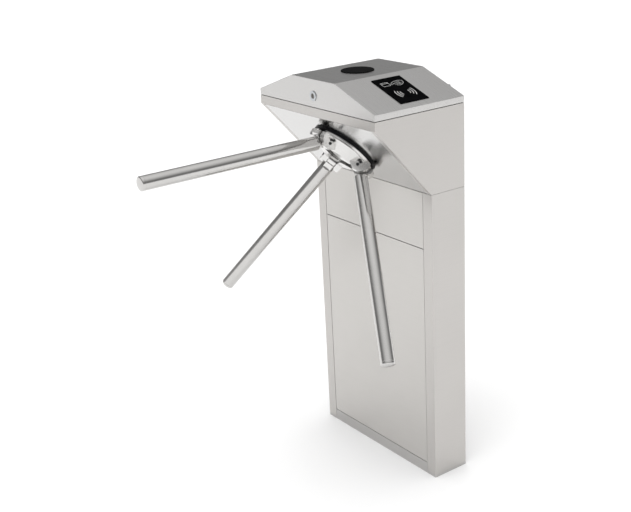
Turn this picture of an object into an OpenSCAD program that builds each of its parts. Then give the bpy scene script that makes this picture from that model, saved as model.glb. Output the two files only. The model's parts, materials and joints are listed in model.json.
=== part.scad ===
// Waist-high tripod turnstile: a narrow sheet-metal column with an overhanging
// head, a rotating three-arm hub on the head's sloping face, a hinged lid with
// two card readers and a direction light, and the indexing mechanism inside.
// Frame: +Z up, the passage is on the -Y side and people walk along X.
// The origin is the centre of the four floor anchor holes, at floor level.

/* [Cabinet] */
// width of the cabinet along the walking direction
body_w = 430; // [380:5:560]
// depth of the lower column
column_d = 100; // [80:5:160]
// depth of the overhanging head
head_d = 255; // [200:5:320]
// overall height to the lid's top plate
total_h = 980; // [900:5:1080]
// height of the fascia's lower edge
fascia_z = 895; // [840:1:940]
// height of the seam under the lid
seam_z = 915; // [860:1:960]
// height of the lid's vertical rim edge
rim_z = 931; // [870:1:970]
// width of the lid's flat top plate
top_w = 160; // [100:5:240]
// sheet thickness
sheet = 2; // [1:0.5:3]
// width of the front columns beside the door
column_w = 30; // [20:1:50]
// height of the door's lower edge
door_z0 = 30; // [15:1:80]
// height of the door's upper edge
door_z1 = 587; // [400:1:680]
// gap around the door and the fixed panel
panel_gap = 1; // [0.5:0.1:2]

/* [Hub] */
// tilt of the hub axis below the horizontal
tilt = 42; // [38:0.5:48]
// distance from the slope's top edge to the hub centre
hub_s = 120; // [100:1:140]
// radius of the hub's polished rim
rim_r = 82; // [70:1:95]
// angle between each arm and the hub axis
cone = 42; // [38:0.5:48]
// depth of the point where the arm axes meet, behind the slope
apex_d = 42; // [30:1:60]
// width of the slot that each arm block swings in
slot_w = 24; // [20:0.5:34]
// width across a lug
lug_w = 52; // [40:1:64]

/* [Arms] */
// outer diameter of an arm tube
arm_d = 32; // [28:1:42]
// wall of an arm tube
arm_wall = 1.5; // [1:0.25:3]
// distance from the axes' meeting point to the tube's end cap
arm_reach = 558; // [450:1:650]
// distance from the axes' meeting point to the start of the tube
arm_start = 110; // [105:1:130]
// width of an arm block
block_w = 20; // [16:0.5:28]

/* [Base] */
// anchor hole spacing along X
anchor_x = 340; // [200:10:380]
// anchor hole spacing along Y
anchor_y = 60; // [40:5:80]
// anchor hole diameter
anchor_d = 13; // [10:0.5:18]
// floor plate thickness
base_t = 8; // [5:1:15]

/* [Lid fittings] */
// diameter of the round indicator window
indicator_d = 76; // [50:1:100]
// reader window length up the slope
reader_l = 105; // [80:1:120]
// reader window width along Y
reader_w = 80; // [60:1:100]

/* [Hidden] */
$fn = 64;
hw = body_w / 2;
yb = column_d / 2;
yf = -column_d / 2;
yh = yb - head_d;
ch_len = (yf - yh) / sin(tilt);
low_z = fascia_z - ch_len * cos(tilt);
hub_y = yh + hub_s * sin(tilt);
hub_z = fascia_z - hub_s * cos(tilt);
pin_rho = 60;
pin_r = pin_rho / sin(cone);
pin_z = -apex_d + pin_r * cos(cone);
rim_z0 = 6;
rim_t = 3.5;
hub_z0 = rim_z0 + rim_t;
floor_z = 12.5;
slope_m = (total_h - rim_z) / (hw - top_w / 2);
slope_a = atan(slope_m);
slope_mx = (hw + top_w / 2) / 2;
slope_mz = (total_h + rim_z) / 2;
lid_cy = (yb + yh) / 2;
bev_t = sheet / cos(slope_a);
hinge_y = yb + 5;
hinge_xs = [-140, 140];
lock_z = 942;
shaft_r = 12.45;
lever_x = 60;
bridge_pts = [[-85, -60], [85, -60], [-30, 60], [30, 60]];
crest_r = 46.5;
screw_zs = [40, 260, 480, 690, 850];
band_z = seam_z - 40;
pawl_px = 46;
pawl_py = -42;
pawl_tail = 22;
steel = [0.79, 0.78, 0.76];
bright = [0.87, 0.87, 0.86];
black = [0.04, 0.04, 0.045];
dark = [0.16, 0.16, 0.17];
zinc = [0.66, 0.67, 0.68];

// a box from its bounds
module bx(x0, x1, y0, y1, z0, z1) {
  translate([x0, y0, z0]) cube([x1 - x0, y1 - y0, z1 - z0]);
}
// the hub frame: origin on the slope's outer face, +Z outward along the hub axis
module hub_frame() { translate([0, hub_y, hub_z]) rotate([90 + tilt, 0, 0]) children(); }
// an arm's frame: +Z along the arm from the point where the three axes meet
module arm_frame(k) {
  hub_frame() rotate([0, 0, 120 * k]) translate([0, 0, -apex_d]) rotate([-cone, 0, 0]) children();
}
// a ring along Z
module ring(ro, ri, z0, z1) {
  translate([0, 0, z0]) difference() {
    cylinder(r = ro, h = z1 - z0);
    translate([0, 0, -1]) cylinder(r = ri, h = z1 - z0 + 2);
  }
}
// a rod along Z
module rod(r, z0, z1) { translate([0, 0, z0]) cylinder(r = r, h = z1 - z0); }
// mirrored pair across the middle plane
module pair() { children(); mirror([1, 0, 0]) children(); }
// a YZ outline drawn in (y, z), extruded along X between two planes
module yz_plate(x0, x1, pts) {
  translate([x0, 0, 0]) rotate([90, 0, 90]) linear_extrude(x1 - x0) polygon(pts);
}

// ---- cabinet ----
module back_holes() for (x = [-200, 200], z = screw_zs) translate([x, yb, z]) rotate([90, 0, 0]) rod(2.6, -1, 6);
module lower_shell() color(steel) {
  pair() {
    bx(hw - sheet, hw, yf, yb, base_t, low_z - 0.5);
    bx(hw - column_w, hw - sheet, yf, yf + sheet, base_t, low_z - 0.5);
    bx(hw - column_w, hw - column_w + sheet, yf + sheet, yf + 14, base_t, low_z - 0.5);
    difference() {
      bx(hw - 28, hw - sheet, yb - 2 * sheet, yb - sheet, base_t, low_z - 0.5);
      back_holes();
    }
  }
  bx(-hw + column_w, hw - column_w, yf + sheet, yf + 5, door_z1 - 12, door_z1 + 18);
}

module head_shell() color(steel) difference() {
  union() {
    pair() yz_plate(hw - sheet, hw, [[yb, low_z], [yf, low_z], [yh, fascia_z], [yh, seam_z], [yb, seam_z]]);
    bx(-hw + sheet, hw - sheet, yh, yh + sheet, fascia_z, seam_z);
    pair() hub_frame() bx(hw - 14, hw - sheet, hub_s - ch_len, hub_s, -sheet, 0);
    pair() hub_frame() bx(hw - 26, hw - sheet, hub_s - ch_len + 14, hub_s - 14, -2 * sheet, -sheet);
    pair() difference() {
      bx(hw - 28, hw - sheet, yb - 2 * sheet, yb - sheet, low_z, seam_z - sheet);
      back_holes();
    }
    difference() {
      bx(-hw + sheet, hw - sheet, yh + sheet, yb, seam_z - sheet, seam_z);
      bx(-hw + 14, hw - 14, yh + 14, yb - 14, seam_z - sheet - 1, seam_z + 1);
    }
    bx(-hw + sheet, hw - sheet, yb - sheet, yb, band_z, seam_z - sheet);
  }
  hub_frame() bx(-hw - 1, hw + 1, hub_s - ch_len - 60, hub_s + 40, 0, 80);
}

module slope_panel() color(bright) hub_frame() difference() {
  bx(-hw + 14.6, hw - 14.6, hub_s - ch_len + 0.6, hub_s - 1.6, -sheet, 0);
  rod(60, -sheet - 1, 1);
}

module upper_panel() color(steel) {
  bx(-hw + column_w + panel_gap, hw - column_w - panel_gap, yf, yf + sheet, door_z1 + 1, low_z - 0.5);
  pair() bx(hw - column_w - panel_gap - sheet, hw - column_w - panel_gap, yf + sheet, yf + 12, door_z1 + 19, low_z - 0.5);
}

module back_panel() color(steel) difference() {
  bx(-hw + sheet + 0.6, hw - sheet - 0.6, yb - sheet, yb, 12, band_z - 1);
  for (z = [430 : 14 : 556], x = [-90, 0, 90]) bx(x - 30, x + 30, yb - sheet - 1, yb + 1, z, z + 4);
  back_holes();
}

module base_frame() color(steel) difference() {
  union() {
    bx(-hw, hw, yf, yb, 0, base_t);
    bx(-hw + column_w + 0.6, hw - column_w - 0.6, yf, yf + sheet, base_t, door_z0 - 1);
    bx(-hw + column_w + 6, hw - column_w - 6, yf + sheet, yf + 16, door_z0 - 3, door_z0 - 1);
  }
  for (x = [-anchor_x / 2, anchor_x / 2], y = [-anchor_y / 2, anchor_y / 2])
    translate([x, y, 0]) rod(anchor_d / 2, -1, base_t + 1);
  rod(21, -1, base_t + 1);
}

module cable_grommet() color(black) {
  ring(21, 16, 0.5, base_t);
  ring(25, 16, base_t, base_t + 4);
}

module door_catches() color(zinc) pair() {
  for (z = [100, 520]) difference() {
    bx(hw - column_w - 8, hw - column_w, yf + 8, yf + 16, z, z + 26);
    bx(hw - column_w - 9, hw - column_w - 2, yf + 7, yf + 13, z + 4, z + 22);
  }
}

module lid_gasket() color(black) difference() {
  bx(-hw + 3.4, hw - 3.4, yh + 3.4, yb - 3.4, seam_z, seam_z + 0.8);
  bx(-hw + 11, hw - 11, yh + 11, yb - 11, seam_z - 1, seam_z + 2);
}

module hinge_leaf(side) {
  for (x = hinge_xs) translate([x, 0, 0]) {
    z0 = side > 0 ? seam_z + 6 : seam_z - 34;
    bx(-30, 30, yb, yb + 2, z0, z0 + 28);
    for (s = side > 0 ? [[-9.7, 9.7]] : [[-30, -10], [10, 30]]) {
      difference() {
        union() {
          translate([s[0], hinge_y, seam_z]) rotate([0, 90, 0]) cylinder(r = 4.4, h = s[1] - s[0], $fn = 40);
          bx(s[0], s[1], yb + 0.6, hinge_y, side > 0 ? seam_z + 1 : seam_z - 9, side > 0 ? seam_z + 9 : seam_z - 1);
        }
        translate([s[0] - 1, hinge_y, seam_z]) rotate([0, 90, 0]) cylinder(r = 2.5, h = s[1] - s[0] + 2, $fn = 40);
      }
    }
  }
}
module lid_hinge_fixed() color(zinc) hinge_leaf(-1);
module lid_hinge_pins() color(zinc) for (x = hinge_xs) translate([x - 31, hinge_y, seam_z]) rotate([0, 90, 0]) {
  cylinder(r = 2.45, h = 62, $fn = 40);
  cylinder(r = 3.6, h = 1, $fn = 40);
}

module lid_keeper() color(zinc) {
  bx(18, 34, yh + sheet, yh + sheet + 2, 898, seam_z - sheet - 0.4);
  bx(18, 34, yh + 15, yh + 28, 898, 900);
  bx(18, 34, yh + sheet, yh + 17, 898, 900);
  bx(26, 34, yh + 26, yh + 28, 900, lock_z + 10);
  bx(14, 34, yh + 19, yh + 28, lock_z + 8, lock_z + 10);
}

// ---- hub surround and mechanism frame ----
module guard_ring() color(black) hub_frame() {
  ring(83, 62, 0, rim_z0 - 0.6);
  ring(59.8, 56, -8, 0);
  ring(62.1, 56, 0, 2.4);
}

module mech_plate() color(zinc) hub_frame() difference() {
  bx(-130, 130, -90, 82, -26, -20);
  rod(30, -27, -19);
  for (x = [-110, 110], y = [-70, 70]) translate([x, y, 0]) rod(3.2, -27, -19);
}

module mech_standoffs() color(zinc) hub_frame() for (x = [-110, 110], y = [-70, 70]) translate([x, y, 0]) {
  rod(7, -20, -sheet);
  rod(3, -31, -20);
  rod(5.5, -30, -26);
}

module bearing_housing() color(dark) hub_frame() difference() {
  union() {
    rod(46, -34, -26);
    rod(31, -92, -34);
    for (a = [45 : 90 : 315]) rotate([0, 0, a]) translate([38, 0, 0]) rod(4, -38, -34);
  }
  rod(26, -93, -29);
  rod(20, -30, -25);
}

module bearing(z0, z1) hub_frame() difference() {
  rod(26, z0, z1);
  rod(12.5, z0 - 1, z1 + 1);
  for (z = [z0 - 1, z1 - 1.2]) ring(22.5, 16, z, z + 2.2);
}
module bearings() color(bright) { bearing(-44, -29); bearing(-90, -75); }

module rear_bridge() color(zinc) hub_frame() difference() {
  union() {
    bx(-95, 95, -70, 26, -142, -138);
    pair() bx(21, 39, 26, 68, -142, -138);
  }
  rod(15, -143, -137);
  for (p = bridge_pts) translate([p[0], p[1], 0]) rod(3, -143, -137);
}

// spacer posts of the bridge, and pivot posts for the index lever and the pawls
module mech_posts() color(zinc) hub_frame() {
  for (p = bridge_pts) translate([p[0], p[1], 0]) {
    rod(6, -138, -26);
    rod(3, -142, -138);
    rod(5, -145, -142);
  }
  translate([lever_x, crest_r, 0]) { rod(7, -86, -26); rod(4.95, -96, -86); ring(7, 4.95, -96, -94); }
  pair() rotate([0, 0, 330]) mirror([0, 1, 0]) translate([pawl_px, pawl_py, 0]) {
    rod(7, -111, -26); rod(4.95, -124, -111); ring(7, 4.95, -124, -122);
  }
}
module index_spring() color([0.5, 0.52, 0.55]) hub_frame() translate([lever_x, crest_r, 0]) {
  for (i = [0 : 4]) ring(9.4, 7.05, -84.4 + 3 * i, -82.4 + 3 * i);
}

// solenoid body, placed in the frame of its pawl
module solenoid() {
  difference() {
    bx(62, 104, -80, -48, -120, -88);
    translate([61, -64, -104]) rotate([0, 90, 0]) cylinder(r = 5.2, h = 44);
  }
  bx(64, 102, -78, -50, -88, -84);
  for (x = [70, 96]) translate([x, -64, 0]) rod(4, -84, -26);
  bx(70, 96, -84, -80, -114, -94);
}
module pawl_side(s) { hub_frame() { if (s > 0) rotate([0, 0, 330]) mirror([0, 1, 0]) children(); else mirror([1, 0, 0]) rotate([0, 0, 330]) mirror([0, 1, 0]) children(); } }
module solenoids() color([0.12, 0.22, 0.38]) for (s = [1, -1]) pawl_side(s) solenoid();
// solenoid plunger with the pin that pulls its pawl's tail
module plunger() {
  translate([54, -64, -104]) rotate([0, 90, 0]) cylinder(r = 5.1, h = 44);
  bx(41.5, 56, -69, -59, -110, -99);
  translate([pawl_px, -64, 0]) rod(2.2, -121, -105);
}
module plunger_in() color(bright) pawl_side(1) plunger();
module plunger_out() color(bright) pawl_side(-1) plunger();

module position_sensor() color(black) hub_frame() difference() {
  bx(-14, 14, -52, -28, -138, -123);
  bx(-15, 15, -46, -27, -131.4, -127.4);
}

module rotary_damper() color(dark) hub_frame() difference() {
  union() { rod(30, -164, -142); rod(38, -146, -142); rod(14, -168, -164); }
  rod(12.5, -160, -141);
}

// ---- equipment in the column ----
module equipment_tray() color(zinc) {
  difference() {
    bx(-160, 160, 34, 36, 150, 600);
    for (x = [-120 : 60 : 120], z = [560, 580]) bx(x - 15, x + 15, 33, 37, z, z + 8);
  }
  pair() bx(150, 160, 36, 48, 150, 600);
}
module power_supply() color([0.62, 0.63, 0.64]) difference() {
  bx(-130, -20, -8, 34, 170, 370);
  for (z = [190 : 12 : 340], x = [-115 : 26 : -40]) bx(x, x + 18, -9, -5, z, z + 4);
}
module backup_battery() color([0.1, 0.11, 0.13]) {
  bx(-150, -35, -20, 45, base_t + 8, base_t + 106);
  for (x = [-135, -50]) bx(x - 5, x + 5, 20, 30, base_t + 106, base_t + 112);
  for (x = [-140, -50]) bx(x - 6, x + 6, -16, 41, base_t, base_t + 8);
}
module control_board() color([0.05, 0.32, 0.16]) {
  bx(-90, 90, 20, 21.6, 400, 540);
  for (x = [-80, 80], z = [410, 530]) translate([x, 34, z]) rotate([90, 0, 0]) cylinder(r = 3, h = 12.4, $fn = 24);
  bx(-60, -20, 17, 20, 450, 490);
  bx(10, 26, 15, 20, 455, 471);
  for (x = [-70 : 20 : 70]) bx(x - 8, x + 8, 9, 20, 515, 527);
  for (x = [44, 62, 78]) translate([x, 20, 470]) rotate([90, 0, 0]) cylinder(r = 6, h = 16, $fn = 32);
}
module terminal_block() color([0.75, 0.76, 0.74]) {
  bx(10, 130, 24, 34, 250, 262);
  for (i = [0 : 9]) bx(12 + 11.6 * i, 22 + 11.6 * i, 4, 24, 238, 274);
}
// loom from the terminal block up to the head
module loom(pts, r) {
  for (i = [0 : len(pts) - 2]) {
    d = pts[i + 1] - pts[i];
    l = norm(d);
    translate(pts[i]) rotate([0, acos(d[2] / l), atan2(d[1], d[0])]) cylinder(r = r, h = l, $fn = 24);
  }
  for (i = [1 : len(pts) - 2]) translate(pts[i]) sphere(r = r + 0.6, $fn = 24);
}
module wiring_harness() color([0.07, 0.07, 0.08]) {
  loom([[118, 14, 274], [118, 14, 286], [140, 12, 310], [140, 12, 640], [140, 30, 760], [120, 30, 840]], 5);
}

module panel_screws() color(dark) for (x = [-200, 200], z = screw_zs) translate([x, yb, z]) rotate([90, 0, 0]) {
  rod(4.5, -2.2, 0);
  rod(2.5, 0, 5);
}

// ---- service door ----
module door_panel() color(steel) {
  bx(-hw + column_w + panel_gap, hw - column_w - panel_gap, yf, yf + 1.5, door_z0, door_z1 - 0.5);
  pair() bx(hw - column_w - panel_gap - 1.5, hw - column_w - panel_gap, yf + 1.5, yf + 7, door_z0, door_z1 - 13);
  bx(-hw + column_w + panel_gap + 1.5, hw - column_w - panel_gap - 1.5, yf + 1.5, yf + 7, door_z0, door_z0 + 1.5);
  bx(-80, 80, yf + 1.5, yf + 4, 80, 540);
}
module door_hooks() color(zinc) pair() for (z = [100, 520]) {
  bx(hw - column_w - 7.6, hw - column_w - 4, yf + 7, yf + 12, z + 6, z + 20);
  bx(hw - column_w - 14, hw - column_w - 4, yf + 7, yf + 8.5, z + 6, z + 20);
  bx(hw - column_w - 14, hw - column_w - 12, yf + 1.5, yf + 7, z + 6, z + 20);
}

// ---- lid ----
module lid_profile(o) {
  x1 = hw - o; zt = total_h - o;
  m = slope_m; c = o / cos(slope_a);
  polygon([[-x1, seam_z + (o > 0 ? -1 : 1.2)], [x1, seam_z + (o > 0 ? -1 : 1.2)],
    [x1, total_h - m * (x1 - top_w / 2) - c], [top_w / 2 + (total_h - c - zt) / m, zt],
    [-(top_w / 2 + (total_h - c - zt) / m), zt], [-x1, total_h - m * (x1 - top_w / 2) - c]]);
}
module slope_frame() translate([slope_mx, lid_cy, slope_mz]) rotate([0, slope_a, 0]) children();
module lid_shell() color(steel) difference() {
  translate([0, yb, 0]) rotate([90, 0, 0]) linear_extrude(head_d) lid_profile(0);
  translate([0, yb - sheet, 0]) rotate([90, 0, 0]) linear_extrude(head_d - 2 * sheet) lid_profile(sheet);
  translate([0, lid_cy, total_h]) rod(indicator_d / 2 - 4, -5, 1);
  pair() slope_frame() bx(-reader_l / 2 + 4, reader_l / 2 - 4, -reader_w / 2 + 4, reader_w / 2 - 4, -5, 1);
  translate([0, yh, lock_z]) rotate([90, 0, 0]) rod(9.5, -5, 1);
}
module lid_hinge_moving() color(zinc) hinge_leaf(1);
module indicator_lens() color(black) translate([0, lid_cy, total_h]) {
  rod(indicator_d / 2, 0, 1.6);
  rod(indicator_d / 2 - 4.2, -4, 0);
}
module indicator_board() color([0.05, 0.32, 0.16]) translate([0, lid_cy, total_h]) {
  rod(31, -13.6, -12);
  for (a = [0 : 60 : 300]) rotate([0, 0, a]) translate([18, 0, 0]) rod(2.5, -12, -8, $fn = 24);
  for (a = [30 : 120 : 270]) rotate([0, 0, a]) translate([28, 0, 0]) rod(2.5, -12, -4, $fn = 24);
}
module reader_window() {
  bx(-reader_l / 2, reader_l / 2, -reader_w / 2, reader_w / 2, 0, 1.6);
  bx(-reader_l / 2 + 4.4, reader_l / 2 - 4.4, -reader_w / 2 + 4.4, reader_w / 2 - 4.4, -4, 0);
}
module reader_windows() color(black) pair() slope_frame() reader_window();
module reader_boards() color([0.05, 0.32, 0.16]) pair() slope_frame() {
  bx(-44, 44, -32, 32, -13.6, -12);
  for (x = [-40, 40], y = [-28, 28]) translate([x, y, 0]) rod(2.5, -12, -4, $fn = 24);
  bx(-12, 12, -12, 12, -15, -13.6);
}
module lid_lock_barrel() color(bright) translate([0, yh, lock_z]) rotate([90, 0, 0]) difference() {
  union() { rod(9.4, -19, 0); rod(11.5, 0, 2); translate([0, 0, 0]) ring(13, 9.4, -6, -sheet); }
  rod(6.1, -20, 3);
}
module lock_plug() color(zinc) translate([0, yh, lock_z]) rotate([90, 0, 0]) difference() {
  union() { rod(6, -19, 1.6); rod(3, -23, -19); }
  bx(-1, 1, -4, 4, -3, 2);
}
module lock_cam() color(zinc) translate([0, yh, lock_z]) rotate([90, 0, 0]) difference() {
  union() {
    rod(8, -22.6, -20);
    bx(-6, 6, -22, 0, -22.6, -20);
  }
  rod(3.02, -23, -19);
}

// ---- rotating hub ----
module lug_profile() polygon([[28, hub_z0 + 0.6], [84, hub_z0 + 0.6], [87, 13], [87, 22], [84, 27.4], [70.4, 39.2], [53, 38], [30, 20]]);
// an outline drawn in (radius, z), extruded across the tangent between two planes
module rz_plate(x0, x1) translate([x0, 0, 0]) rotate([90, 0, 90]) linear_extrude(x1 - x0) children();
module notch(z0, z1) for (k = [0 : 2]) rotate([0, 0, 120 * k]) bx(-slot_w / 2, slot_w / 2, 66, 95, z0, z1);

module hub_rim() color(bright) hub_frame() difference() {
  rod(rim_r, rim_z0, hub_z0);
  rod(50, rim_z0 - 1, hub_z0 + 1);
  notch(rim_z0 - 1, hub_z0 + 1);
}
module hub_body() color(bright) hub_frame() difference() {
  union() {
    rod(49.8, 1, hub_z0);
    rod(78, hub_z0, floor_z);
    translate([0, 0, floor_z]) cylinder(r1 = 76, r2 = 40, h = 17.5);
    for (k = [0 : 2]) rotate([0, 0, 120 * k]) rz_plate(-lug_w / 2, lug_w / 2) lug_profile();
  }
  for (k = [0 : 2]) rotate([0, 0, 120 * k]) {
    bx(-slot_w / 2, slot_w / 2, 8, 95, floor_z - 0.3, 60);
    bx(-slot_w / 2, slot_w / 2, 66, 95, 0, 60);
    translate([-40, pin_rho, pin_z]) rotate([0, 90, 0]) cylinder(r = 5.02, h = 80);
    for (s = [-1, 1]) translate([s * lug_w / 2, pin_rho + 3, 17]) rotate([0, 90, 0]) {
      cylinder(r = 3, h = 16, center = true);
      translate([0, 0, s * 5.95]) cylinder(r = 4.4, h = 12, center = true);
    }
  }
  rod(12.5, 0, floor_z + 1);
  rod(16, floor_z - 0.8, 60);
}
module arm_pins() color(dark) hub_frame() for (k = [0 : 2]) rotate([0, 0, 120 * k]) translate([0, pin_rho, pin_z]) rotate([0, 90, 0]) {
  translate([0, 0, -lug_w / 2]) cylinder(r = 5, h = lug_w);
  for (s = [-1, 1]) translate([0, 0, s * (lug_w / 2 + 0.7)]) cylinder(r = 4.2, h = 1.4, center = true);
}
module cheek_screws() color(dark) hub_frame() {
  for (k = [0 : 2], s = [-1, 1]) rotate([0, 0, 120 * k]) translate([s * (lug_w / 2 - 2.6), pin_rho + 3, 17]) rotate([0, 90, 0]) {
    cylinder(r = 2.95, h = 8, center = true);
    translate([0, 0, s * 3.3]) cylinder(r = 3.8, h = 1.4, center = true);
  }
  rod(8, floor_z, floor_z + 6);
  rod(5, floor_z + 6, floor_z + 7.5);
}
module main_shaft() color(zinc) hub_frame() { rod(shaft_r, -158, floor_z); ring(20, shaft_r, 0, 1); }
module index_cam() color(dark) hub_frame() difference() {
  rod(38, -106, -96);
  rod(shaft_r, -107, -95);
  for (a = [30 : 60 : 330]) rotate([0, 0, a]) translate([40.5, 0, 0]) rod(9.2, -107, -95);
}
module lock_disc() color(zinc) hub_frame() difference() {
  union() { rod(34, -120, -112); rod(20, -112, -106); rod(20, -128.8, -120); rod(36, -130, -128.8); rod(20, -134, -130); }
  rod(shaft_r, -135, -105);
  for (a = [30 : 60 : 330]) rotate([0, 0, a]) bx(27, 40, -4.6, 4.6, -121, -111);
  for (a = [0 : 30 : 330]) rotate([0, 0, a]) bx(29, 34, -2, 2, -131, -128.5);
}

// ---- arms ----
module arm_tube(k) arm_frame(k) {
  ring(arm_d / 2, arm_d / 2 - arm_wall, arm_start, arm_reach - 5);
  rod(arm_d / 2 - arm_wall, arm_reach - 20, arm_reach - 5);
  translate([0, 0, arm_reach - 5]) {
    cylinder(r = arm_d / 2, h = 2);
    translate([0, 0, 2]) cylinder(r1 = arm_d / 2, r2 = arm_d / 2 - 2.2, h = 1.7);
    translate([0, 0, 3.7]) cylinder(r1 = arm_d / 2 - 2.2, r2 = arm_d / 2 - 8, h = 1.3);
  }
}
module arm_block(k) {
  hub_frame() rotate([0, 0, 120 * k]) difference() {
    union() {
      translate([-block_w / 2, pin_rho, pin_z]) rotate([0, 90, 0]) cylinder(r = 11, h = block_w);
      rz_plate(-block_w / 2, block_w / 2) polygon([[pin_rho, 13.8], [91, 13.8], [93, 16], [93, 25], [89, 28.5], [84.5, 30], [pin_rho, 34]]);
    }
    translate([-20, pin_rho, pin_z]) rotate([0, 90, 0]) cylinder(r = 5.06, h = 40);
  }
  arm_frame(k) {
    bx(-block_w / 2, block_w / 2, -11, 12, pin_r + 6, arm_start);
    rod(arm_d / 2 - arm_wall - 0.05, arm_start, arm_start + 34);
  }
}
module arm_a() color(bright) arm_tube(0);
module arm_a_block() color(bright) arm_block(0);
module arm_b() color(bright) arm_tube(1);
module arm_b_block() color(bright) arm_block(1);
module arm_c() color(bright) arm_tube(2);
module arm_c_block() color(bright) arm_block(2);

// ---- index lever and pawls ----
module index_lever() color(zinc) hub_frame() {
  difference() {
    union() {
      translate([lever_x, crest_r, 0]) rod(10, -93.6, -86.6);
      bx(0, lever_x, crest_r - 5, crest_r + 5, -93.6, -86.6);
      translate([0, crest_r, 0]) rod(7, -93.6, -86.6);
    }
    translate([lever_x, crest_r, 0]) rod(5.02, -95, -85);
  }
  translate([0, crest_r, 0]) { rod(3, -106.6, -93); rod(4.6, -108.2, -106.6); rod(4.6, -95.4, -93.6); }
}
module index_roller() color([0.85, 0.8, 0.62]) hub_frame() translate([0, crest_r, 0]) ring(8, 3.06, -106, -96);

module pawl() {
  difference() {
    union() {
      translate([pawl_px, pawl_py, 0]) rod(10, -120, -112);
      bx(pawl_px - 5, pawl_px + 5, pawl_py - pawl_tail - 6, 2, -120, -112);
      bx(35.4, pawl_px + 4, -1.6, 4.4, -120, -112);
    }
    translate([pawl_px, pawl_py, 0]) rod(5.02, -121, -111);
    translate([pawl_px, pawl_py - pawl_tail, 0]) rod(2.8, -121, -111);
  }
}
module pawl_in() color(zinc) pawl_side(1) pawl();
module pawl_out() color(zinc) pawl_side(-1) pawl();

lower_shell();
head_shell();
slope_panel();
upper_panel();
back_panel();
base_frame();
cable_grommet();
door_catches();
lid_gasket();
lid_hinge_fixed();
lid_hinge_pins();
lid_keeper();
guard_ring();
mech_plate();
mech_standoffs();
bearing_housing();
bearings();
rear_bridge();
mech_posts();
index_spring();
solenoids();
position_sensor();
rotary_damper();
equipment_tray();
power_supply();
backup_battery();
control_board();
terminal_block();
wiring_harness();
panel_screws();
door_panel();
door_hooks();
lid_shell();
lid_hinge_moving();
indicator_lens();
indicator_board();
reader_windows();
reader_boards();
lid_lock_barrel();
lock_plug();
lock_cam();
hub_rim();
hub_body();
arm_pins();
cheek_screws();
main_shaft();
index_cam();
lock_disc();
arm_a();
arm_a_block();
arm_b();
arm_b_block();
arm_c();
arm_c_block();
index_lever();
index_roller();
pawl_in();
pawl_out();
plunger_in();
plunger_out();
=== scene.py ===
import bpy, bmesh, json, math
from mathutils import Vector, Matrix


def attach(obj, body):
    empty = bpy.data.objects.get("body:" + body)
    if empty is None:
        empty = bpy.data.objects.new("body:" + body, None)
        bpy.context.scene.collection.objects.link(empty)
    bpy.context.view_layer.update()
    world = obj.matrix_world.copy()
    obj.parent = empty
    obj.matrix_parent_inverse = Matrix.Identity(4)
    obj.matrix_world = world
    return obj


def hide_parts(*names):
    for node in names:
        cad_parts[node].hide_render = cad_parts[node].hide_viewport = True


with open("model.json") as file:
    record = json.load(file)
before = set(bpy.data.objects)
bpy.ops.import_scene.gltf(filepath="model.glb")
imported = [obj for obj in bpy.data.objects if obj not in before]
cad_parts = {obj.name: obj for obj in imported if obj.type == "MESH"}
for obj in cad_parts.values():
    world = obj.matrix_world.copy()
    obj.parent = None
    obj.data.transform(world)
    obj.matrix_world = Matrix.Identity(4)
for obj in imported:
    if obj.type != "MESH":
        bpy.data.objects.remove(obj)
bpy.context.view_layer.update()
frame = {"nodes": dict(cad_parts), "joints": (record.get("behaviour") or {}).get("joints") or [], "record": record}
NODES = frame["nodes"]
BODY = {n: b for b, ns in frame["record"]["behaviour"]["bodies"].items() for n in ns}
sin, cos, rad, pi = math.sin, math.cos, math.radians, math.pi
MM = 0.001

# ------------------------------------------------------------------ camera
AZ, EL, ROLL, DIST, FPX = rad(54.8), rad(20.2), rad(-3.1), 2.6134, 1088.3
TARGET = Vector((-0.0552, -0.1834, 0.5417))
back = Vector((sin(AZ) * cos(EL), -cos(AZ) * cos(EL), sin(EL)))
right = Vector((cos(AZ), sin(AZ), 0))
up = back.cross(right)
R = right * cos(ROLL) + up * sin(ROLL)
U = -right * sin(ROLL) + up * cos(ROLL)
cam_data = bpy.data.cameras.new("photo_camera")
cam = bpy.data.objects.new("photo_camera", cam_data)
bpy.context.scene.collection.objects.link(cam)
cam_data.sensor_width = 36.0
cam_data.sensor_fit = "HORIZONTAL"
cam_data.lens = FPX / 631 * 36.0
cam_data.clip_end = 100
m = Matrix.Identity(4)
for i in range(3):
    m[i][0], m[i][1], m[i][2] = R[i], U[i], back[i]
    m[i][3] = (TARGET + back * DIST)[i]
cam.matrix_world = m
bpy.context.scene.camera = cam

# --------------------------------------------------------------- materials
def new_mat(name, base, metallic, rough, **kw):
    mat = bpy.data.materials.new(name)
    mat.use_nodes = True
    nt = mat.node_tree
    b = nt.nodes["Principled BSDF"]
    b.inputs["Base Color"].default_value = (*base, 1)
    b.inputs["Metallic"].default_value = metallic
    b.inputs["Roughness"].default_value = rough
    for k, v in kw.items():
        b.inputs[k].default_value = v
    return mat, nt, b


def noise(nt, scale, stretch=(1, 1, 1), detail=3.0, rough=0.55):
    tc = nt.nodes.new("ShaderNodeTexCoord")
    mp = nt.nodes.new("ShaderNodeMapping")
    mp.inputs["Scale"].default_value = stretch
    nz = nt.nodes.new("ShaderNodeTexNoise")
    nz.inputs["Scale"].default_value = scale
    nz.inputs["Detail"].default_value = detail
    nz.inputs["Roughness"].default_value = rough
    nt.links.new(tc.outputs["Object"], mp.inputs["Vector"])
    nt.links.new(mp.outputs["Vector"], nz.inputs["Vector"])
    return nz


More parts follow.
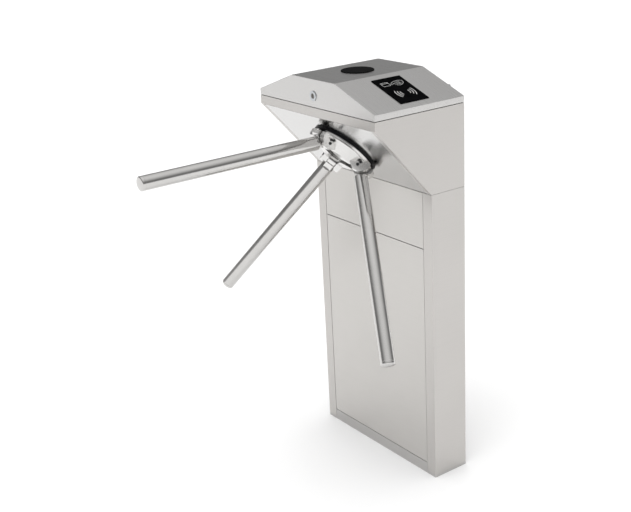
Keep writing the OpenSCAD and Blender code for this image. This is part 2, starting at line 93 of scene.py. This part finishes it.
def ramp(nt, fac, stops):
    r = nt.nodes.new("ShaderNodeValToRGB")
    e = r.color_ramp.elements
    while len(e) < len(stops):
        e.new(0.5)
    for el, (p, c) in zip(e, stops):
        el.position = p
        el.color = (*c, 1)
    nt.links.new(fac, r.inputs["Fac"])
    return r


def rough_from(nt, b, fac, lo, hi):
    mr = nt.nodes.new("ShaderNodeMapRange")
    mr.inputs["From Min"].default_value = 0.3
    mr.inputs["From Max"].default_value = 0.7
    mr.inputs["To Min"].default_value = lo
    mr.inputs["To Max"].default_value = hi
    nt.links.new(fac, mr.inputs["Value"])
    nt.links.new(mr.outputs["Result"], b.inputs["Roughness"])


def bump_from(nt, b, fac, strength, dist):
    bp = nt.nodes.new("ShaderNodeBump")
    bp.inputs["Strength"].default_value = strength
    bp.inputs["Distance"].default_value = dist
    nt.links.new(fac, bp.inputs["Height"])
    nt.links.new(bp.outputs["Normal"], b.inputs["Normal"])


def brushed(name, base, rough, stretch, spread=0.05, aniso=0.0, bump=0.05, metallic=1.0):
    """Metal with a fine directional grain and slow tonal drift."""
    mat, nt, b = new_mat(name, base, metallic, rough)
    b.inputs["Anisotropic"].default_value = aniso
    fine = noise(nt, 1.0, stretch, 2.0)
    slow = noise(nt, 5.0, (1, 1, 1), 2.0)
    add = nt.nodes.new("ShaderNodeMath")
    add.operation = "MULTIPLY_ADD"
    nt.links.new(slow.outputs["Fac"], add.inputs[0])
    add.inputs[1].default_value = 0.45
    half = nt.nodes.new("ShaderNodeMath")
    half.operation = "MULTIPLY"
    nt.links.new(fine.outputs["Fac"], half.inputs[0])
    half.inputs[1].default_value = 0.55
    nt.links.new(half.outputs[0], add.inputs[2])
    lo = tuple(max(0, c * (1 - spread)) for c in base)
    hi = tuple(min(1, c * (1 + spread)) for c in base)
    r = ramp(nt, add.outputs[0], [(0.3, lo), (0.7, hi)])
    nt.links.new(r.outputs["Color"], b.inputs["Base Color"])
    rough_from(nt, b, fine.outputs["Fac"], rough * 0.88, rough * 1.15)
    bump_from(nt, b, fine.outputs["Fac"], bump, 0.00015)
    return mat


def speckled(name, base, rough, scale=900, spread=0.12, bump=0.15, metallic=0.0, dist=0.0002, **kw):
    """Moulded plastic, rubber or paint with a fine texture."""
    mat, nt, b = new_mat(name, base, metallic, rough, **kw)
    fine = noise(nt, scale, (1, 1, 1), 3.0)
    slow = noise(nt, 14.0, (1, 1, 1), 2.0)
    lo = tuple(c * (1 - spread) for c in base)
    hi = tuple(min(1, c * (1 + spread)) for c in base)
    r = ramp(nt, slow.outputs["Fac"], [(0.35, lo), (0.65, hi)])
    nt.links.new(r.outputs["Color"], b.inputs["Base Color"])
    rough_from(nt, b, slow.outputs["Fac"], rough * 0.9, min(1, rough * 1.12))
    bump_from(nt, b, fine.outputs["Fac"], bump, dist)
    return mat


STEEL = (0.585, 0.567, 0.545)
M = {}
M["steel_front"] = brushed("steel_front", (0.560, 0.545, 0.525), 0.33, (3, 3, 900), 0.035)
M["steel_side"] = brushed("steel_side", (0.537, 0.520, 0.502), 0.33, (3, 3, 900), 0.035)
M["steel_lid"] = brushed("steel_lid", (0.575, 0.567, 0.558), 0.30, (3, 900, 3), 0.015, bump=0.015)
M["steel_base"] = brushed("steel_base", (0.52, 0.51, 0.50), 0.42, (900, 3, 3), 0.06)
M["mirror_panel"] = brushed("mirror_panel", (0.575, 0.57, 0.562), 0.18, (3, 500, 500), 0.02, bump=0.02)
M["chrome"] = brushed("chrome", (0.58, 0.57, 0.558), 0.14, (40, 40, 40), 0.03, bump=0.01)
M["hub_steel"] = brushed("hub_steel", (0.70, 0.692, 0.68), 0.22, (60, 60, 60), 0.03, bump=0.02)
M["rim_steel"] = brushed("rim_steel", (0.86, 0.855, 0.845), 0.10, (60, 60, 60), 0.03, bump=0.01)
M["zinc"] = brushed("zinc", (0.56, 0.58, 0.60), 0.38, (120, 120, 120), 0.14, bump=0.08)
M["ground_steel"] = brushed("ground_steel", (0.66, 0.66, 0.65), 0.22, (30, 500, 30), 0.06)
M["cast_dark"] = speckled("cast_dark", (0.055, 0.056, 0.060), 0.55, 700, 0.15, 0.35, 0.6)
M["screw_dark"] = speckled("screw_dark", (0.050, 0.050, 0.052), 0.42, 900, 0.2, 0.15, 0.7)
M["cam_steel"] = brushed("cam_steel", (0.20, 0.19, 0.18), 0.34, (90, 90, 90), 0.12)
M["rubber"] = speckled("rubber", (0.022, 0.022, 0.023), 0.78, 1200, 0.2, 0.3)
M["guard"] = speckled("guard", (0.006, 0.006, 0.007), 0.40, 800, 0.2, 0.12, **{"Specular IOR Level": 0.15})
M["black_plastic"] = speckled("black_plastic", (0.025, 0.025, 0.027), 0.5, 1100, 0.2, 0.25)
M["pale_plastic"] = speckled("pale_plastic", (0.62, 0.62, 0.58), 0.45, 900, 0.05, 0.12)
M["green_plastic"] = speckled("green_plastic", (0.05, 0.27, 0.11), 0.42, 900, 0.08, 0.12)
M["nylon"] = speckled("nylon", (0.80, 0.76, 0.62), 0.4, 900, 0.05, 0.1)
M["coil"] = brushed("coil", (0.03, 0.07, 0.18), 0.35, (3, 3, 700), 0.15, metallic=0.2)
M["case"] = brushed("case", (0.50, 0.51, 0.52), 0.36, (3, 300, 300), 0.05)
M["brass"] = brushed("brass", (0.62, 0.48, 0.22), 0.26, (100, 100, 100), 0.08)
M["copper"] = brushed("copper", (0.70, 0.33, 0.18), 0.3, (300, 300, 300), 0.1)
M["white_print"] = speckled("white_print", (0.62, 0.62, 0.61), 0.45, 1500, 0.02, 0.04)
M["label_grey"] = speckled("label_grey", (0.55, 0.56, 0.57), 0.5, 900, 0.03, 0.05)
M["led_off"] = speckled("led_off", (0.10, 0.20, 0.12), 0.12, 500, 0.1, 0.02, 0.0)
# gloss black windows: deep black with a faint dust haze
mat, nt, b = new_mat("window_black", (0.0015, 0.0015, 0.002), 0.0, 0.10, **{"Specular IOR Level": 0.002})
hz = noise(nt, 40, (1, 1, 1), 4.0)
rough_from(nt, b, hz.outputs["Fac"], 0.05, 0.11)
rr = ramp(nt, hz.outputs["Fac"], [(0.35, (0.0012, 0.0012, 0.0014)), (0.75, (0.0030, 0.0030, 0.0034))])
nt.links.new(rr.outputs["Color"], b.inputs["Base Color"])
M["window_black"] = mat
# circuit board: solder mask with a grid of copper tracks under it
mat, nt, b = new_mat("board", (0.02, 0.16, 0.07), 0.0, 0.35, **{"Coat Weight": 0.4})
tc = nt.nodes.new("ShaderNodeTexCoord")
br = nt.nodes.new("ShaderNodeTexBrick")
br.inputs["Scale"].default_value = 120
br.inputs["Mortar Size"].default_value = 0.03
br.inputs["Color1"].default_value = (0.012, 0.13, 0.055, 1)
br.inputs["Color2"].default_value = (0.018, 0.16, 0.07, 1)
br.inputs["Mortar"].default_value = (0.05, 0.26, 0.11, 1)
mp = nt.nodes.new("ShaderNodeMapping")
mp.inputs["Rotation"].default_value = (pi / 2, 0, 0)
nt.links.new(tc.outputs["Object"], mp.inputs["Vector"])
nt.links.new(mp.outputs["Vector"], br.inputs["Vector"])
nt.links.new(br.outputs["Color"], b.inputs["Base Color"])
bump_from(nt, b, br.outputs["Fac"], 0.15, 0.0001)
M["board"] = mat

NODE_MAT = {
    "lower_shell": "steel_side", "head_shell": "steel_side", "slope_panel": "mirror_panel", "upper_panel": "steel_front",
    "back_panel": "steel_front", "base_frame": "steel_base", "cable_grommet": "rubber", "door_catches": "zinc",
    "lid_gasket": "rubber", "lid_hinge_fixed": "ground_steel", "lid_hinge_pins": "ground_steel", "lid_keeper": "zinc",
    "guard_ring": "guard", "mech_plate": "zinc", "mech_standoffs": "zinc", "bearing_housing": "cast_dark",
    "bearings": "ground_steel", "rear_bridge": "zinc", "mech_posts": "ground_steel", "index_spring": "ground_steel",
    "solenoids": "coil", "position_sensor": "black_plastic", "rotary_damper": "cast_dark", "equipment_tray": "zinc",
    "power_supply": "case", "backup_battery": "black_plastic", "control_board": "board", "terminal_block": "green_plastic",
    "wiring_harness": "rubber", "panel_screws": "screw_dark", "door_panel": "steel_front", "door_hooks": "zinc",
    "lid_shell": "steel_lid", "lid_hinge_moving": "ground_steel", "indicator_lens": "window_black", "indicator_board": "board",
    "reader_windows": "window_black", "reader_boards": "board", "lid_lock_barrel": "zinc", "lock_plug": "cam_steel",
    "lock_cam": "zinc", "hub_rim": "rim_steel", "hub_body": "hub_steel", "arm_pins": "screw_dark", "cheek_screws": "screw_dark",
    "main_shaft": "ground_steel", "index_cam": "cam_steel", "lock_disc": "zinc", "arm_a": "chrome", "arm_a_block": "hub_steel",
    "arm_b": "chrome", "arm_b_block": "hub_steel", "arm_c": "chrome", "arm_c_block": "hub_steel", "index_lever": "zinc",
    "index_roller": "nylon", "pawl_in": "cam_steel", "pawl_out": "cam_steel", "plunger_in": "ground_steel", "plunger_out": "ground_steel",
}
for n, o in NODES.items():
    o.data.materials.clear()
    o.data.materials.append(M[NODE_MAT[n]])
    for p in o.data.polygons:
        p.material_index = 0

# ------------------------------------------------------------- mesh helpers
def link(name, me, mat, body, smooth=None, weighted=False):
    o = bpy.data.objects.new(name, me)
    bpy.context.scene.collection.objects.link(o)
    me.materials.clear()
    me.materials.append(M[mat])
    if smooth is not None:
        me.shade_smooth()
        me.set_sharp_from_angle(angle=rad(smooth))
    if weighted:
        wn = o.modifiers.new("face_normals", "WEIGHTED_NORMAL")
        wn.mode = "FACE_AREA"
        wn.weight = 100
        wn.keep_sharp = True
    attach(o, body)
    return o


def from_bm(name, bm, mat, body, smooth=30, mtx=None, weighted=False):
    me = bpy.data.meshes.new(name)
    if mtx is not None:
        bm.transform(mtx)
    bmesh.ops.recalc_face_normals(bm, faces=bm.faces)
    bm.to_mesh(me)
    bm.free()
    return link(name, me, mat, body, smooth, weighted)


def sound(bm):
    """True if the faces fill without folding over themselves."""
    flat = sum(f.calc_area() for f in bm.faces)
    tris = sum(((b_.vert.co - a_.vert.co).cross(c_.vert.co - a_.vert.co)).length / 2 for a_, b_, c_ in bm.calc_loop_triangles())
    return abs(tris - flat) < 0.001 * flat


def refine(node, width, segs=2, angle=15, mat=None):
    """A copy of a CAD node with welded faces and eased edges, standing for it."""
    src = NODES[node]
    for way in ("merge", "pairs", "plain"):
        bm = bmesh.new()
        bm.from_mesh(src.data)
        bmesh.ops.remove_doubles(bm, verts=bm.verts, dist=2e-6)
        if way == "merge":
            bmesh.ops.dissolve_limit(bm, angle_limit=rad(0.3), verts=bm.verts, edges=bm.edges)
        elif way == "pairs":
            bmesh.ops.join_triangles(bm, faces=bm.faces, cmp_seam=False, cmp_sharp=False, cmp_uvs=False, cmp_vcols=False,
                                     cmp_materials=False, angle_face_threshold=rad(0.3), angle_shape_threshold=rad(170))
        if way != "plain":
            edges = [e for e in bm.edges if len(e.link_faces) == 2 and e.calc_face_angle(0) > rad(angle)]
            bmesh.ops.bevel(bm, geom=edges, offset=width, offset_type="OFFSET", segments=segs, profile=0.5,
                            affect="EDGES", clamp_overlap=True, harden_normals=False)
        if way == "plain" or sound(bm):
            break
        bm.free()
    print("refine", node, way)
    o = from_bm(node + "_finish", bm, mat or NODE_MAT[node], BODY[node], 50, weighted=True)
    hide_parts(node)
    return o


def lathe(profile, steps=64):
    """A closed turned shape about +Z from (z, r) pairs."""
    bm = bmesh.new()
    rings = []
    for z, r in profile:
        if r <= 1e-9:
            rings.append([bm.verts.new((0, 0, z))])
        else:
            rings.append([bm.verts.new((r * cos(2 * pi * i / steps), r * sin(2 * pi * i / steps), z)) for i in range(steps)])
    for a, c in zip(rings, rings[1:]):
        for i in range(steps):
            j = (i + 1) % steps
            if len(a) == 1 and len(c) == 1:
                continue
            if len(a) == 1:
                bm.faces.new((a[0], c[j], c[i]))
            elif len(c) == 1:
                bm.faces.new((a[i], a[j], c[0]))
            else:
                bm.faces.new((a[i], a[j], c[j], c[i]))
    return bm


def ebox(bm, x0, x1, y0, y1, z0, z1, ease=0.0, mtx=None):
    """A box with eased edges added to bm."""
    r = bmesh.ops.create_cube(bm, size=1.0)
    vs = r["verts"]
    bmesh.ops.scale(bm, vec=(x1 - x0, y1 - y0, z1 - z0), verts=vs)
    bmesh.ops.translate(bm, vec=((x0 + x1) / 2, (y0 + y1) / 2, (z0 + z1) / 2), verts=vs)
    if ease > 0:
        es = list({e for v in vs for e in v.link_edges})
        bmesh.ops.bevel(bm, geom=es, offset=ease, segments=2, profile=0.5, affect="EDGES", clamp_overlap=True)


def merge_into(bm, other, mtx=None):
    me = bpy.data.meshes.new("tmp")
    if mtx is not None:
        other.transform(mtx)
    other.to_mesh(me)
    other.free()
    bm.from_mesh(me)
    bpy.data.meshes.remove(me)


# hub frame, from the record's own hub joint
HJ = [j for j in frame["joints"] if j["name"] == "hub_spin"][0]
A_OUT = Vector(HJ["axis"]).normalized()
U_UP = Vector((0, A_OUT.z, -A_OUT.y))
HUB = Matrix.Identity(4)
for i in range(3):
    HUB[i][0], HUB[i][1], HUB[i][2], HUB[i][3] = (1, 0, 0)[i], U_UP[i], A_OUT[i], HJ["pos_m"][i]

# ---------------------------------------------------------- sheet metal
refine("lid_shell", 0.0009, 2)
refine("head_shell", 0.0006, 2)
refine("lower_shell", 0.0006, 2)
refine("slope_panel", 0.0005, 2)
refine("upper_panel", 0.0005, 2)
refine("door_panel", 0.0005, 2)
refine("base_frame", 0.0006, 2)
refine("back_panel", 0.0004, 1)
refine("hub_body", 0.0007, 2)
refine("hub_rim", 0.0005, 2)
refine("guard_ring", 0.0004, 2)
for k in "abc":
    refine("arm_%s_block" % k, 0.0008, 2)
refine("lid_lock_barrel", 0.0004, 2)
refine("lid_keeper", 0.0004, 1)
refine("backup_battery", 0.0012, 2)
refine("solenoids", 0.0006, 2)
refine("power_supply", 0.0004, 1)

# ---------------------------------------------------------------- arms
ARM = [(0.1100, 0.0145), (0.1100, 0.0156), (0.1104, 0.0160), (0.1500, 0.0160), (0.2600, 0.0160), (0.3700, 0.0160),
       (0.4800, 0.0160), (0.5498, 0.0160), (0.5501, 0.01575), (0.5506, 0.01575), (0.5509, 0.0160), (0.5548, 0.0160),
       (0.5557, 0.01585), (0.5564, 0.0154), (0.5570, 0.0144), (0.5575, 0.0120), (0.5578, 0.0080), (0.55795, 0.0040), (0.5580, 0.0)]
for k, (nm, body) in enumerate((("a", "top_arm"), ("b", "second_arm"), ("c", "third_arm"))):
    bm = lathe([(0.1100, 0.0145)] + ARM[1:], 96)
    inner = [(0.1100, 0.0145), (0.1440, 0.0145), (0.1440, 0.0)]
    merge_into(bm, lathe(inner, 96))
    bmesh.ops.remove_doubles(bm, verts=bm.verts, dist=1e-6)
    mt = HUB @ Matrix.Rotation(rad(120 * k), 4, "Z") @ Matrix.Translation((0, 0, -0.042)) @ Matrix.Rotation(rad(-42), 4, "X")
    o = from_bm("arm_tube_" + nm, bm, "chrome", body, 28, mt)
    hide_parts("arm_" + nm)

# ------------------------------------------------ hub fasteners with sockets
def socket_head(r, h, hexr, depth):
    """A cap-screw head about +Z with a hex socket."""
    bm = lathe([(0, 0), (0, r), (h * 0.75, r), (h, r * 0.88), (h, hexr * 1.16)], 48)
    ring = [v for v in bm.verts if abs(v.co.z - h) < 1e-7 and abs(v.co.xy.length - hexr * 1.16) < 1e-6]
    ring.sort(key=lambda v: math.atan2(v.co.y, v.co.x))
    low = []
    for v in ring:
        a = math.atan2(v.co.y, v.co.x)
        s = (a + pi / 6) % (pi / 3) - pi / 6
        rr_ = hexr / cos(s) * 0.98
        low.append((rr_ * cos(a), rr_ * sin(a)))
    top2 = [bm.verts.new((x, y, h - h * 0.05)) for x, y in low]
    bot2 = [bm.verts.new((x, y, h - depth)) for x, y in low]
    n = len(ring)
    for i in range(n):
        j = (i + 1) % n
        bm.faces.new((ring[i], ring[j], top2[j], top2[i]))
        bm.faces.new((top2[i], top2[j], bot2[j], bot2[i]))
    bm.faces.new(bot2)
    return bm


def on_axis(p, d):
    """A matrix that puts +Z along d at p."""
    return Matrix.Translation(p) @ Vector(d).to_track_quat("Z", "Y").to_matrix().to_4x4()


PIN_Z = -0.042 + 0.060 / sin(rad(42)) * cos(rad(42))
bm = bmesh.new()
heads = bmesh.new()
for k in range(3):
    rot = HUB @ Matrix.Rotation(rad(120 * k), 4, "Z")
    for s in (-1, 1):
        merge_into(heads, socket_head(0.0036, 0.0014, 0.0018, 0.0010), rot @ on_axis((s * 0.026, 0.060, PIN_Z), (s, 0, 0)))
    merge_into(bm, lathe([(-0.02595, 0), (-0.02595, 0.005), (0.02595, 0.005), (0.02595, 0)], 40), rot @ on_axis((0, 0.060, PIN_Z), (1, 0, 0)))
o = from_bm("arm_pin_set", bm, "ground_steel", "hub")
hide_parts("arm_pins")
from_bm("arm_pin_heads", heads, "screw_dark", "hub")
bm = bmesh.new()
for k in range(3):
    rot = HUB @ Matrix.Rotation(rad(120 * k), 4, "Z")
    for s in (-1, 1):
        merge_into(bm, socket_head(0.0034, 0.0014, 0.0017, 0.0010), rot @ on_axis((s * 0.0260, 0.063, 0.017), (s, 0, 0)))
        merge_into(bm, lathe([(0, 0), (0, 0.00295), (0.0066, 0.00295), (0.0066, 0)], 32), rot @ on_axis((s * 0.0194, 0.063, 0.017), (s, 0, 0)))
merge_into(bm, socket_head(0.0080, 0.0072, 0.0040, 0.0040), HUB @ Matrix.Translation((0, 0, 0.0125)))
o = from_bm("cheek_screw_set", bm, "screw_dark", "hub")
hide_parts("cheek_screws")

# ------------------------------------------------ back panel screws
bm = bmesh.new()
for x in (-0.2, 0.2):
    for z in (0.040, 0.260, 0.480, 0.690, 0.850):
        merge_into(bm, socket_head(0.0045, 0.0022, 0.0022, 0.0014), on_axis((x, 0.05, z), (0, 1, 0)))
        merge_into(bm, lathe([(0, 0), (0, 0.0025), (0.005, 0.0025), (0.005, 0)], 24), on_axis((x, 0.05, z), (0, -1, 0)))
o = from_bm("back_screw_set", bm, "screw_dark", "cabinet")
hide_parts("panel_screws")

# ------------------------------------------------ reader pictogram
SLOPE_A = math.atan((0.980 - 0.931) / (0.215 - 0.080))
def slope_mtx(side):
    mt = Matrix.Translation((0.1475, -0.0775, 0.9555)) @ Matrix.Rotation(SLOPE_A, 4, "Y")
    return mt if side > 0 else Matrix.Scale(-1, 4, (1, 0, 0)) @ mt


def strip(bm, pts, w, z0, z1, closed=False):
    """A raised line of width w through pts, from z0 to z1."""
    n = len(pts)
    L, Rr = [], []
    for i, p in enumerate(pts):
        a = pts[i - 1] if (closed or i > 0) else p
        c = pts[(i + 1) % n] if (closed or i < n - 1) else p
        t = (Vector(c) - Vector(a)).normalized()
        nn = Vector((-t.y, t.x))
        L.append(Vector(p) + nn * w / 2)
        Rr.append(Vector(p) - nn * w / 2)
    vs = [[bm.verts.new((q.x, q.y, z)) for q in row] for z in (z0, z1) for row in (L, Rr)]
    lo_l, lo_r, hi_l, hi_r = vs
    m_ = n if closed else n - 1
    for i in range(m_):
        j = (i + 1) % n
        bm.faces.new((hi_l[i], hi_r[i], hi_r[j], hi_l[j]))
        bm.faces.new((lo_l[i], lo_l[j], lo_r[j], lo_r[i]))
        bm.faces.new((lo_l[i], hi_l[i], hi_l[j], lo_l[j]))
        bm.faces.new((lo_r[i], lo_r[j], hi_r[j], hi_r[i]))
    if not closed:
        bm.faces.new((lo_l[0], lo_r[0], hi_r[0], hi_l[0]))
        bm.faces.new((lo_l[-1], hi_l[-1], hi_r[-1], lo_r[-1]))


def arc(cx, cy, r, a0, a1, n=14):
    return [(cx + r * cos(a0 + (a1 - a0) * i / n), cy + r * sin(a0 + (a1 - a0) * i / n)) for i in range(n + 1)]


def spline(pts, n=5):
    out = []
    m_ = len(pts)
    for i in range(m_):
        p0, p1, p2, p3 = (Vector(pts[(i + d) % m_]) for d in (-1, 0, 1, 2))
        for s in range(n):
            t = s / n
            out.append(tuple(0.5 * ((2 * p1) + (-p0 + p2) * t + (2 * p0 - 5 * p1 + 4 * p2 - p3) * t * t + (-p0 + 3 * p1 - 3 * p2 + p3) * t ** 3)))
    return out


Z0, Z1 = 0.00155, 0.00178
for side, tag in ((1, "right"), (-1, "left")):
    bm = bmesh.new()
    for sgn in (-1, 1):
        for r in (0.0120, 0.0185, 0.0250):
            ca = rad(84) * sgn
            strip(bm, arc(0.015, 0.003, r, ca - rad(34), ca + rad(34)), 0.0014, Z0, Z1)
    strip(bm, spline([(-0.0335, -0.0295), (-0.027, -0.030), (-0.0205, -0.0295), (-0.020, -0.020), (-0.0205, -0.0105), (-0.027, -0.010), (-0.0335, -0.0105), (-0.034, -0.020)]), 0.0007, Z0, Z1, True)
    strip(bm, [(-0.0300, -0.0285), (-0.0300, -0.0115)], 0.0007, Z0, Z1)
    hand = spline([(-0.032, 0.028), (-0.034, 0.016), (-0.032, 0.004), (-0.027, -0.004), (-0.024, -0.006), (-0.0225, -0.003),
                   (-0.0255, 0.003), (-0.020, 0.004), (-0.0155, 0.008), (-0.0155, 0.016), (-0.019, 0.023), (-0.023, 0.028)])
    strip(bm, hand, 0.0007, Z0, Z1, True)
    for dx in (0.0, 0.0042, 0.0084):
        strip(bm, [(-0.0295 + dx, 0.007), (-0.0285 + dx, 0.014), (-0.029 + dx, 0.021)], 0.0007, Z0, Z1)
    o = from_bm("reader_print_" + tag, bm, "white_print", "lid", 30, slope_mtx(side))

# indicator: bezel lip and a faint ring of lamps behind the black window
bm = lathe([(0, 0.0372), (0, 0.0384), (0.0012, 0.0384), (0.0018, 0.0380), (0.0018, 0.0374), (0.0015, 0.0372), (0, 0.0372)], 96)
from_bm("indicator_bezel", bm, "window_black", "lid", 30, Matrix.Translation((0, -0.0775, 0.980)))

# ------------------------------------------------ inner details
turns, n = 5.0, 180
cu = bpy.data.curves.new("torsion_spring", "CURVE")
cu.dimensions = "3D"
cu.bevel_depth = 0.00105
cu.bevel_resolution = 4
sp = cu.splines.new("POLY")
pts = []
for i in range(n + 1):
    t = i / n
    a = t * turns * 2 * pi
    pts.append(Vector((0.0083 * cos(a), 0.0083 * sin(a), -0.0835 + 0.0125 * t)))
pts = [Vector((0.0083, -0.016, -0.0835))] + pts + [Vector((0.0083, 0.015, -0.0710))]
sp.points.add(len(pts) - 1)
loc = HUB @ Matrix.Translation((0.060, 0.0465, 0))
for i, p in enumerate(pts):
    sp.points[i].co = (*(loc @ p), 1)
tmp = bpy.data.objects.new("torsion_spring_tmp", cu)
bpy.context.scene.collection.objects.link(tmp)
bpy.context.view_layer.update()
me = bpy.data.meshes.new_from_object(tmp.evaluated_get(bpy.context.evaluated_depsgraph_get()))
bpy.data.objects.remove(tmp)
o = link("torsion_spring", me, "ground_steel", "cabinet", 40)
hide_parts("index_spring")

# components on the control board
bm = bmesh.new()
for x0, x1, z0, z1, h in ((-0.060, -0.020, 0.450, 0.490, 0.0008), (0.010, 0.026, 0.455, 0.471, 0.0008)):
    for i in range(10):
        px = x0 + (x1 - x0) * (i + 0.5) / 10
        pz = z0 + (z1 - z0) * (i + 0.5) / 10
        ebox(bm, px - 0.0005, px + 0.0005, 0.0190, 0.0200, z1, z1 + 0.0022)
        ebox(bm, px - 0.0005, px + 0.0005, 0.0190, 0.0200, z0 - 0.0022, z0)
        ebox(bm, x0 - 0.0022, x0, 0.0190, 0.0200, pz - 0.0005, pz + 0.0005)
        ebox(bm, x1, x1 + 0.0022, 0.0190, 0.0200, pz - 0.0005, pz + 0.0005)
from_bm("chip_leads", bm, "ground_steel", "cabinet")
bm = bmesh.new()
for x in (0.044, 0.062, 0.078):
    merge_into(bm, lathe([(0, 0), (0, 0.0062), (0.0145, 0.0062), (0.0155, 0.0058), (0.0155, 0.0050), (0.0162, 0.0046), (0.0162, 0)], 40), on_axis((x, 0.0199, 0.470), (0, -1, 0)))
from_bm("capacitor_sleeves", bm, "coil", "cabinet")
bm = bmesh.new()
for i, x in enumerate(range(-70, 71, 20)):
    ebox(bm, (x - 8.2) * MM, (x + 8.2) * MM, 0.0086, 0.0198, 0.5148, 0.5272, 0.0005)
    for dx in (-5, 0, 5):
        merge_into(bm, lathe([(0, 0), (0, 0.0016), (0.0006, 0.0016), (0.0006, 0)], 20), on_axis(((x + dx) * MM, 0.0086, 0.521), (0, -1, 0)))
from_bm("board_connectors", bm, "green_plastic", "cabinet")
bm = bmesh.new()
for x, z in ((-75, 420), (-60, 425), (-45, 418), (-30, 432), (-12, 424), (4, 436), (20, 428), (38, 420), (55, 436), (70, 426), (-72, 470), (-5, 500), (30, 498), (-40, 503)):
    ebox(bm, (x - 2.2) * MM, (x + 2.2) * MM, 0.0186, 0.0200, (z - 1.2) * MM, (z + 1.2) * MM, 0.0002)
from_bm("chip_resistors", bm, "black_plastic", "cabinet")
# terminal block screws
bm = bmesh.new()
for i in range(10):
    x = (17 + 11.6 * i) * MM
    merge_into(bm, lathe([(0, 0), (0, 0.0032), (0.0008, 0.0030), (0.0008, 0)], 24), on_axis((x, 0.004, 0.256), (0, -1, 0)))
from_bm("terminal_screws", bm, "ground_steel", "cabinet")
# harness ties
bm = bmesh.new()
for z in (0.33, 0.40, 0.47, 0.54, 0.61):
    merge_into(bm, lathe([(-0.002, 0.0051), (-0.002, 0.0061), (0.002, 0.0061), (0.002, 0.0051), (-0.002, 0.0051)], 28), Matrix.Translation((0.140, 0.012, z)))
    ebox(bm, 0.1455, 0.1495, 0.0095, 0.0145, z - 0.0025, z + 0.0025, 0.0005)
from_bm("harness_ties", bm, "pale_plastic", "cabinet")
# battery top label area
bm = bmesh.new()
ebox(bm, -0.140, -0.045, -0.0206, -0.0198, 0.035, 0.095, 0.0002)
from_bm("battery_label", bm, "label_grey", "cabinet")
# lamps on the indicator board
bm = bmesh.new()
for a in range(0, 360, 60):
    merge_into(bm, lathe([(0, 0), (0, 0.0026), (0.0012, 0.0026), (0.0026, 0.0020), (0.0032, 0.0010), (0.0034, 0)], 20),
               Matrix.Translation((0.018 * cos(rad(a)), -0.0775 + 0.018 * sin(rad(a)), 0.980 - 0.0080)))
from_bm("indicator_lamps", bm, "led_off", "lid")
# damper fixing screws
bm = bmesh.new()
for a in range(45, 360, 90):
    merge_into(bm, socket_head(0.0032, 0.0028, 0.0016, 0.0016), HUB @ Matrix.Rotation(rad(a), 4, "Z") @ on_axis((0.034, 0, -0.146), (0, 0, -1)))
from_bm("damper_screws", bm, "ground_steel", "cabinet")

# ------------------------------------------------------------ studio
def stage_plane():
    me = bpy.data.meshes.new("studio_floor")
    me.from_pydata([(-40, -40, 0), (40, -40, 0), (40, 40, 0), (-40, 40, 0)], [], [(0, 1, 2, 3)])
    mat, nt, b = new_mat("floor_pale", (0.90, 0.90, 0.90), 0.0, 0.9)
    o = bpy.data.objects.new("studio_floor", me)
    bpy.context.scene.collection.objects.link(o)
    me.materials.append(mat)


stage_plane()


def sun(name, direction, strength, angle):
    d = bpy.data.lights.new(name, "SUN")
    d.energy = strength
    d.angle = rad(angle)
    o = bpy.data.objects.new(name, d)
    bpy.context.scene.collection.objects.link(o)
    o.rotation_euler = Vector(direction).to_track_quat("-Z", "Y").to_euler()
    o.visible_glossy = False
    return o


sun("soft_front", (-0.35, 0.75, -1.0), 1.42, 80)
sun("soft_top", (0.25, -0.3, -1.0), 1.04, 100)

w = bpy.data.worlds.new("studio")
bpy.context.scene.world = w
w.use_nodes = True
nt = w.node_tree
bg = nt.nodes["Background"]
tc = nt.nodes.new("ShaderNodeTexCoord")
sx = nt.nodes.new("ShaderNodeSeparateXYZ")
nt.links.new(tc.outputs["Generated"], sx.inputs[0])
mr = nt.nodes.new("ShaderNodeMapRange")
mr.inputs["From Min"].default_value = -1
mr.inputs["From Max"].default_value = 1
nt.links.new(sx.outputs["Z"], mr.inputs["Value"])
r = ramp(nt, mr.outputs["Result"], [(0.0, (0.9, 0.9, 0.9)), (0.49, (0.85, 0.85, 0.85)), (0.56, (0.26, 0.26, 0.26)), (0.70, (0.25, 0.25, 0.25)), (0.88, (0.80, 0.80, 0.80)), (1.0, (1.1, 1.1, 1.1))])
nt.links.new(r.outputs["Color"], bg.inputs["Color"])
bg.inputs["Strength"].default_value = 1.0
bpy.context.scene.view_settings.view_transform = "Standard"
bpy.context.scene.view_settings.look = "None"
bpy.context.scene.view_settings.exposure = 0.0
